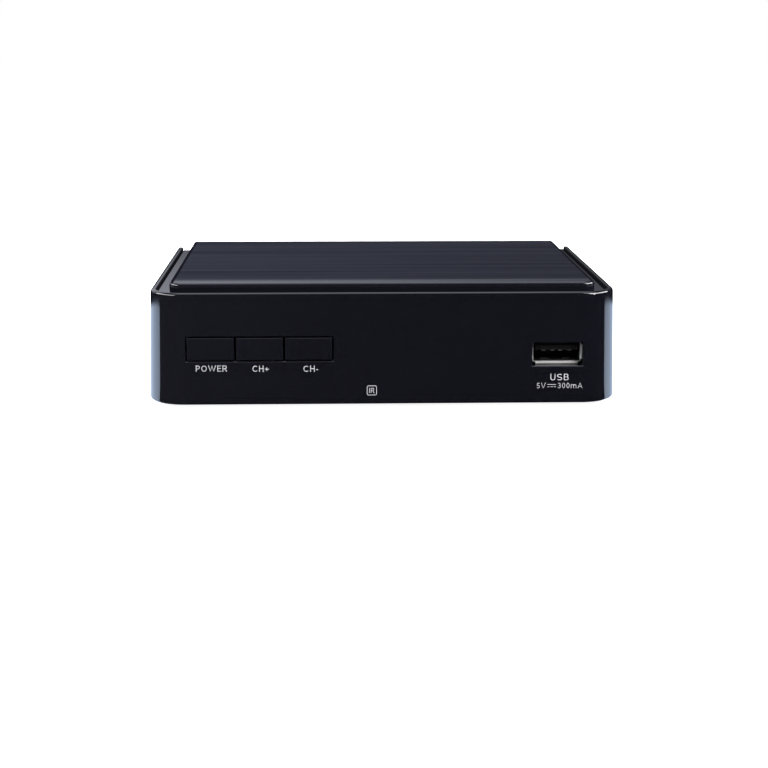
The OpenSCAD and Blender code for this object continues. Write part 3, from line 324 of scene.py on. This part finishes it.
# Hairline film: long grey streaks along the width, drawn up to 3 mm wide here so that they show, over a
# dark satin ground. It is metallic, so that it takes the colour of the room.
hair_mm, band_mm = (70, 0.5, 0.5), (160, 3, 3)
brushed, tree, place, shader = finish_of("hairline_film_on_abs", {"IOR": 1.5})
lid_top, film_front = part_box("top_cover")[1].z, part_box("front_frame")[0].y + film_inset
at = add(tree, "ShaderNodeSeparateXYZ", {0: place}).outputs
facing = add(tree, "ShaderNodeTexCoord").outputs["Normal"]
facing = add(tree, "ShaderNodeSeparateXYZ", {0: facing}).outputs[2]
level = add(tree, "ShaderNodeMapRange", {
    0: at[2], 1: lid_top - round_ends, 2: lid_top - flat_starts}).outputs[0]
upward = add(tree, "ShaderNodeMapRange", {0: facing, 1: 0.8, 2: 0.95}).outputs[0]
inside = add(tree, "ShaderNodeMapRange", {0: at[1], 1: film_front, 2: film_front + film_fade}).outputs[0]
film = add(tree, "ShaderNodeMath", {0: level, 1: upward}, operation="MULTIPLY").outputs[0]
film = add(tree, "ShaderNodeMath", {0: film, 1: inside}, operation="MULTIPLY").outputs[0]
# The painted shade lies along the sides of the lid's flat, which reaches as far out as its highest corners
# do.
lid_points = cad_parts["top_cover"].data.vertices
corners = np.empty(3 * len(lid_points))
lid_points.foreach_get("co", corners)
corners = corners.reshape(-1, 3)
flat_side = np.abs(corners[corners[:, 2] > lid_top - flat_error, 0]).max()
aside = add(tree, "ShaderNodeMath", {0: at[0]}, operation="ABSOLUTE").outputs[0]
painted_side_shade = add(tree, "ShaderNodeMapRange", {
    0: aside, 1: flat_side - side_shade_fade, 2: flat_side - side_shade_wide}).outputs[0]
painted_side_shade = add(tree, "ShaderNodeMath", {0: painted_side_shade, 1: level}, operation="MULTIPLY").outputs[0]
kept = add(tree, "ShaderNodeMath", {0: 1.0, 1: painted_side_shade}, operation="SUBTRACT").outputs[0]
film = add(tree, "ShaderNodeMath", {0: film, 1: kept}, operation="MULTIPLY").outputs[0]
# Painted shade: the border along the sides has no reflection at all.
mirror = add(tree, "ShaderNodeMapRange", {0: painted_side_shade, 3: 0.5, 4: 0.0}).outputs[0]
fine, broad = (add(tree, "ShaderNodeMapping", {
    "Vector": place, "Scale": [1 / (size * MM) for size in sizes]}) for sizes in (hair_mm, band_mm))
hairs = add(tree, "ShaderNodeTexNoise", {"Vector": fine.outputs[0], "Scale": 1.0, "Detail": 3.0})
bands = add(tree, "ShaderNodeTexNoise", {"Vector": broad.outputs[0], "Scale": 1.0, "Detail": 2.0})
streaks = add(tree, "ShaderNodeMath", {0: hairs.outputs[0], 1: bands.outputs[0]},
              operation="ADD").outputs[0]
pale = add(tree, "ShaderNodeMapRange", {0: streaks, 1: 0.75, 2: 1.25})
grey = add(tree, "ShaderNodeMix", {0: pale.outputs[0], 6: linear("#2c2d33"), 7: linear("#4b4c55")},
           data_type="RGBA")
tone = add(tree, "ShaderNodeMix", {0: film, 6: linear("#0f0f15"), 7: grey.outputs[2]}, data_type="RGBA")
edge_tint = add(tree, "ShaderNodeMix", {0: film, 6: (1, 1, 1, 1), 7: linear("#a6a7ac")}, data_type="RGBA")
film_sheen = add(tree, "ShaderNodeMapRange", {0: streaks, 1: 0.75, 2: 1.25, 3: 0.5, 4: 0.38})
sheen = add(tree, "ShaderNodeMix", {0: film, 2: 0.08, 3: film_sheen.outputs[0]})
rough_part = add(tree, "ShaderNodeMapRange", {0: film, 1: 0.6, 2: 1.0}).outputs[0]
relief = add(tree, "ShaderNodeMath", {0: streaks, 1: rough_part}, operation="MULTIPLY").outputs[0]
bump = add(tree, "ShaderNodeBump", {"Height": relief, "Strength": 0.6, "Distance": 0.02 * MM})
tree.links.new(tone.outputs[2], shader.inputs["Base Color"])
tree.links.new(sheen.outputs[0], shader.inputs["Roughness"])
tree.links.new(film, shader.inputs["Metallic"])
tree.links.new(mirror, shader.inputs["Specular IOR Level"])
tree.links.new(edge_tint.outputs[2], shader.inputs["Specular Tint"])
tree.links.new(bump.outputs[0], shader.inputs["Normal"])
dress(brushed, "top_cover")


# Legends: pad-printed pale grey ink on the frame below the keys and the USB socket, 0.03 mm thick, in
# plain upright letters of even stroke. The ink is dead matt and a little uneven, so its edges stay soft.
ink = moulded("pad_printed_ink", ("#98989b", "#a6a6a8"), 0.3, 0.004, (0.6, 0.75))


def bow(x, z, rx, rz, start, end):
    """Points of an ellipse about (x, z), from one angle to another in degrees."""
    turn = np.radians(np.linspace(start, end, 17))
    return [*zip(x + rx * np.cos(turn), z + rz * np.sin(turn))]


# Each letter has its width and its strokes' middle lines, in units of the capitals' height.
letters = {
    "P": (0.66, [[(0.08, 0), (0.08, 0.92), *bow(0.35, 0.69, 0.23, 0.23, 90, -90), (0.08, 0.46)]]),
    "O": (0.88, [bow(0.44, 0.5, 0.36, 0.42, 0, 360)]),
    "W": (1.2, [[(0.06, 1), (0.33, 0.08), (0.6, 0.92), (0.87, 0.08), (1.14, 1)]]),
    "E": (0.62, [[(0.62, 0.92), (0.08, 0.92), (0.08, 0.08), (0.62, 0.08)], [(0.08, 0.52), (0.57, 0.52)]]),
    "R": (0.74, [[(0.08, 0), (0.08, 0.92), *bow(0.39, 0.69, 0.23, 0.23, 90, -90), (0.08, 0.46)],
                 [(0.38, 0.46), (0.67, 0)]]),
    "C": (0.82, [bow(0.44, 0.5, 0.36, 0.42, 42, 318)]),
    "H": (0.7, [[(0.08, 0), (0.08, 1)], [(0.62, 0), (0.62, 1)], [(0.08, 0.52), (0.62, 0.52)]]),
    "+": (0.6, [[(0, 0.42), (0.6, 0.42)], [(0.3, 0.12), (0.3, 0.72)]]),
    "-": (0.33, [[(0, 0.36), (0.33, 0.36)]]),
    "U": (0.7, [[(0.08, 1), *bow(0.35, 0.35, 0.27, 0.27, 180, 360), (0.62, 1)]]),
    "S": (0.72, [[*bow(0.36, 0.7, 0.28, 0.22, 30, 270), *bow(0.36, 0.28, 0.29, 0.2, 90, -150)[1:]]]),
    "B": (0.68, [[(0.08, 0.52), (0.08, 0.92), *bow(0.36, 0.72, 0.2, 0.2, 90, -90), (0.08, 0.52)],
                 [(0.08, 0.52), *bow(0.38, 0.3, 0.22, 0.22, 90, -90), (0.08, 0.08), (0.08, 0.52)]]),
    "5": (0.58, [[(0.52, 0.92), (0.17, 0.92), (0.1, 0.5), *bow(0.28, 0.33, 0.22, 0.25, 125, -150)]]),
    "V": (0.84, [[(0.06, 1), (0.42, 0.08), (0.78, 1)]]),
    "⎓": (1.64, [[(0.1, 0.69), (1.54, 0.69)], *([(x, 0.29), (x + 0.36, 0.29)] for x in (0.1, 0.64, 1.18))]),
    "3": (0.58, [[*bow(0.28, 0.72, 0.19, 0.2, 150, -90), *bow(0.28, 0.3, 0.22, 0.22, 90, -150)[1:]]]),
    "0": (0.58, [bow(0.29, 0.5, 0.21, 0.42, 0, 360)]),
    "m": (1.0, [[(0.08, 0), (0.08, 0.72)], [*bow(0.29, 0.43, 0.21, 0.22, 180, 0), (0.5, 0)],
                [*bow(0.71, 0.43, 0.21, 0.22, 180, 0), (0.92, 0)]]),
    "A": (0.86, [[(0.06, 0), (0.43, 0.93), (0.8, 0)], [(0.2, 0.34), (0.66, 0.34)]]),
    "I": (0.16, [[(0.08, 0), (0.08, 1)]]),
}
letter_gap, ink_thick = 0.17, 0.03 * MM
# The front face leans out by 0.8 mm over its 30 mm, and its round bottom edge takes off the last 0.02 mm.
lean, edge_cut_mm = 0.8 / 30, 0.02
frame_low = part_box("front_frame")[0]


def printed(name, paths_mm, stroke_mm):
    """Ink strokes on the leaning front face: x across and z up in mm, y moving back by the lean for each
    mm up."""
    strokes = [np.asarray(path, float).T for path in paths_mm]
    bottom = (0, frame_low.y, frame_low.z)
    paths = [np.stack([x, lean * z - edge_cut_mm, z], 1) * MM + bottom for x, z in strokes]
    half = stroke_mm * MM / 2
    outward = Vector((0, -1, lean)).normalized()
    piece = sweep(name, paths, outward, [(0, -half), (ink_thick, -half), (ink_thick, half), (0, half)])
    piece.data.materials.append(ink)
    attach(piece, "receiver")


def legend(name, words, left, right, low, high, stroke=0.085):
    """Words in a box of the front face, given in mm from its middle and its bottom edge: the letters stand
    side by side with even gaps and are scaled to the box. The stroke is a share of the box's height."""
    widths = [letters[letter][0] for letter in words]
    starts = np.cumsum([0, *widths[:-1]]) + letter_gap * np.arange(len(words))
    scale = np.array([(right - left) / (starts[-1] + widths[-1]), high - low])
    paths = [(np.array(path) + (start, 0)) * scale + (left, low)
             for letter, start in zip(words, starts) for path in letters[letter][1]]
    printed(name, paths, stroke * (high - low))


legend("legend_power", "POWER", -49.9, -41.55, 9.1, 10.8)
legend("legend_channel_up", "CH+", -34.9, -30.55, 9.0, 10.7)
legend("legend_channel_down", "CH-", -21.4, -17.45, 8.9, 10.6)
legend("legend_usb", "USB", 44.5, 49.5, 6.2, 8.05)
legend("legend_supply", "5V⎓300mA", 40.85, 53.25, 4.05, 5.6, 0.07)
# Infrared sign: the letters stand in a rounded square, right over the sensor's pocket.
square_x, square_z, square_half, square_r, square_stroke = -3.2, 3.8, 1.25, 0.4, 0.12
square = [point for k, (x, z) in enumerate([(1, 1), (-1, 1), (-1, -1), (1, -1)]) for point in bow(
    square_x + x * (square_half - square_r), square_z + z * (square_half - square_r), square_r, square_r,
    90 * k, 90 * k + 90)]
printed("infrared_sign_frame", [[*square, square[0]]], square_stroke)
legend("infrared_sign", "IR", -3.95, -2.5, 3.1, 4.5)


# Studio: white paper under the case, lit table at its corners, a dim room and three soft boxes.
# Gloss black shows only what it mirrors, so the paper is hidden from reflections, and the table and the
# room stand in for it.
floor_mesh = bpy.data.meshes.new("floor")
reach = 4.0
paper_corners = [(-reach, -reach, 0), (reach, -reach, 0), (reach, reach, 0), (-reach, reach, 0)]
floor_mesh.from_pydata(paper_corners, [], [(0, 1, 2, 3)])
floor = bpy.data.objects.new("floor", floor_mesh)
bpy.context.scene.collection.objects.link(floor)
paper = finish_of("white_paper", {"Base Color": linear("#f4f4f4"), "Roughness": 0.9,
                                  "Emission Color": linear("#ffffff"), "Emission Strength": 0.95})[0]
floor_mesh.materials.append(paper)
floor.visible_glossy = False

# Lit table beside and behind each front corner: a sector about the corner, brighter to the side, that only
# reflections see. It draws the pale upright bands on the rounded corners.
table_glow, tree, place, shader = finish_of("lit_table", {
    "Base Color": (0, 0, 0, 1), "Emission Color": linear("#c3d7f5")})
sideways = add(tree, "ShaderNodeSeparateXYZ", {
    0: add(tree, "ShaderNodeVectorMath", {0: place}, operation="NORMALIZE").outputs[0]}).outputs[0]
sideways = add(tree, "ShaderNodeMath", {0: sideways}, operation="ABSOLUTE").outputs[0]
glow = add(tree, "ShaderNodeMapRange", {0: sideways, 1: 0.1, 2: 0.95, 3: 0.8, 4: 3.9}).outputs[0]
table_back, table_side = 0.172, 0.21
share = add(tree, "ShaderNodeVectorMath", {0: place, 1: (1 / table_side, 1 / table_back, 0)},
            operation="MULTIPLY").outputs[0]
share = add(tree, "ShaderNodeVectorMath", {0: share}, operation="LENGTH").outputs["Value"]
fade = add(tree, "ShaderNodeMapRange", {0: share, 1: 0.92, 2: 1.0, 3: 1.0, 4: 0.0}).outputs[0]
glow = add(tree, "ShaderNodeMath", {0: glow, 1: fade}, operation="MULTIPLY").outputs[0]
right_side = add(tree, "ShaderNodeSeparateXYZ", {0: place}).outputs[0]
dimmed = add(tree, "ShaderNodeMapRange", {0: right_side, 1: -0.01, 2: 0.01, 3: 1.0, 4: 0.82}).outputs[0]
glow = add(tree, "ShaderNodeMath", {0: glow, 1: dimmed}, operation="MULTIPLY").outputs[0]
tree.links.new(glow, shader.inputs["Emission Strength"])
fan = np.radians(np.linspace(-15, 90, 36))
corner_x, corner_y, card_up = 0.0599, -0.0464, 0.0002
for side, label in ((-1, "left"), (1, "right")):
    rim = np.stack([side * table_side * np.sin(fan), table_back * np.cos(fan), np.zeros_like(fan)], 1)
    mesh = bpy.data.meshes.new(f"lit_table_{label}")
    mesh.from_pydata([(0, 0, 0), *rim.tolist()], [], [(0, k, k + 1) for k in range(1, len(fan))])
    mesh.materials.append(table_glow)
    card = bpy.data.objects.new(mesh.name, mesh)
    card.location = (side * corner_x, corner_y, card_up)
    card.visible_camera = card.visible_diffuse = card.visible_shadow = False
    bpy.context.scene.collection.objects.link(card)

# The room, by direction: a low bright wall behind the case, brighter to the left, a dim rest that is darker
# to the right and behind, and a lit strip of ceiling behind and overhead.
world = bpy.data.worlds.new("studio")
bpy.context.scene.world = world
world.use_nodes = True
tree = world.node_tree
tree.nodes.clear()
way = add(tree, "ShaderNodeSeparateXYZ", {0: add(tree, "ShaderNodeTexCoord").outputs["Generated"]}).outputs
smooth = {"interpolation_type": "SMOOTHSTEP"}
risen = add(tree, "ShaderNodeMapRange", {0: way[2], 1: 0.11, 2: 0.18}, **smooth).outputs[0]
under = add(tree, "ShaderNodeMapRange", {0: way[2], 1: 0.9, 2: 0.6}, **smooth).outputs[0]
behind = add(tree, "ShaderNodeMapRange", {0: way[1], 1: -0.1, 2: 0.3}, **smooth).outputs[0]
leftward = add(tree, "ShaderNodeMapRange", {
    0: way[0], 1: 0.3, 2: -0.3, 3: 0.12, 4: 1.14}, **smooth).outputs[0]
wall = add(tree, "ShaderNodeMath", {0: risen, 1: behind}, operation="MULTIPLY").outputs[0]
wall = add(tree, "ShaderNodeMath", {0: wall, 1: under}, operation="MULTIPLY").outputs[0]
wall = add(tree, "ShaderNodeMath", {0: wall, 1: leftward}, operation="MULTIPLY").outputs[0]
room = add(tree, "ShaderNodeMapRange", {0: way[0], 1: 0.2, 2: -0.25, 3: 0.02, 4: 0.14}, **smooth).outputs[0]
ahead = add(tree, "ShaderNodeMapRange", {0: way[1], 1: -0.1, 2: 0.3, 3: 1.0, 4: 0.15}, **smooth).outputs[0]
room = add(tree, "ShaderNodeMath", {0: room, 1: ahead}, operation="MULTIPLY").outputs[0]
aside = add(tree, "ShaderNodeMath", {0: way[0]}, operation="ABSOLUTE").outputs[0]
middle = add(tree, "ShaderNodeMapRange", {0: aside, 1: 0.3, 2: 0.15}, **smooth).outputs[0]
overhead = add(tree, "ShaderNodeMapRange", {0: way[2], 1: 0.4, 2: 0.7, 4: 2.0}, **smooth).outputs[0]
ceiling = add(tree, "ShaderNodeMath", {0: middle, 1: overhead}, operation="MULTIPLY").outputs[0]
ceiling = add(tree, "ShaderNodeMath", {0: ceiling, 1: behind}, operation="MULTIPLY").outputs[0]
# A weaker lamp just in front of the zenith draws the thin lines on the top edges of the keys and the rim.
near = add(tree, "ShaderNodeMapRange", {0: way[1], 1: -0.42, 2: -0.3}, **smooth).outputs[0]
zenith = add(tree, "ShaderNodeMapRange", {0: way[2], 1: 0.88, 2: 0.93, 4: 1.9}, **smooth).outputs[0]
lamp = add(tree, "ShaderNodeMath", {0: near, 1: zenith}, operation="MULTIPLY").outputs[0]
ceiling = add(tree, "ShaderNodeMath", {0: ceiling, 1: lamp}, operation="MAXIMUM").outputs[0]
strength = add(tree, "ShaderNodeMath", {0: wall, 1: room}, operation="MAXIMUM").outputs[0]
strength = add(tree, "ShaderNodeMath", {0: strength, 1: ceiling}, operation="MAXIMUM").outputs[0]
# The table behind the case, which only the rear sockets mirror.
below = add(tree, "ShaderNodeMapRange", {0: way[2], 1: -0.16, 2: -0.22, 4: 0.8}, **smooth).outputs[0]
rearward = add(tree, "ShaderNodeMapRange", {0: way[1], 1: 0.3, 2: 0.6}, **smooth).outputs[0]
table = add(tree, "ShaderNodeMath", {0: below, 1: rearward}, operation="MULTIPLY").outputs[0]
strength = add(tree, "ShaderNodeMath", {0: strength, 1: table}, operation="MAXIMUM").outputs[0]
dim = add(tree, "ShaderNodeBackground", {0: linear("#e2e6f4"), 1: strength})
white = add(tree, "ShaderNodeBackground", {0: (1, 1, 1, 1), 1: 1.0})
seen = add(tree, "ShaderNodeLightPath").outputs["Is Camera Ray"]
both = add(tree, "ShaderNodeMixShader", {0: seen, 1: dim.outputs[0], 2: white.outputs[0]})
add(tree, "ShaderNodeOutputWorld", {0: both.outputs[0]})

# Each soft box has its place, its width and height in metres and its power, and faces the case's middle.
case_middle = Vector((0, 0, 0.015))
for name, place, wide, tall, watts in [("front_soft_box", (0.6, -0.6, 0.8), 0.6, 0.6, 8.0),
                                       ("left_soft_box", (-0.58, -0.18, 0.36), 0.9, 0.25, 7.0),
                                       ("right_soft_box", (0.58, -0.18, 0.36), 0.9, 0.25, 12.0)]:
    light = bpy.data.lights.new(name, "AREA")
    light.shape, light.size, light.size_y, light.energy = "RECTANGLE", wide, tall, watts
    soft_box = bpy.data.objects.new(name, light)
    soft_box.location = place
    soft_box.rotation_euler = (case_middle - soft_box.location).to_track_quat("-Z", "Y").to_euler()
    bpy.context.scene.collection.objects.link(soft_box)

# The camera stands in front of the case, above it and a little to the left; its place, aim and roll were
# fitted to the photograph.
camera_place, camera_aim = (-0.01448, -0.46708, 0.0996), Vector((0.03395, 0.97555, -0.21714))
camera_roll = np.radians(0.09)
camera_data = bpy.data.cameras.new("camera")
camera_data.sensor_width, camera_data.lens, camera_data.clip_start = 36.0, 75.23, 0.01
camera = bpy.data.objects.new("camera", camera_data)
camera.location = camera_place
camera.rotation_euler = camera_aim.to_track_quat("-Z", "Y").to_euler()
camera.rotation_euler.rotate_axis("Z", camera_roll)
bpy.context.scene.collection.objects.link(camera)
bpy.context.scene.camera = camera
bpy.context.scene.view_settings.view_transform = "Standard"
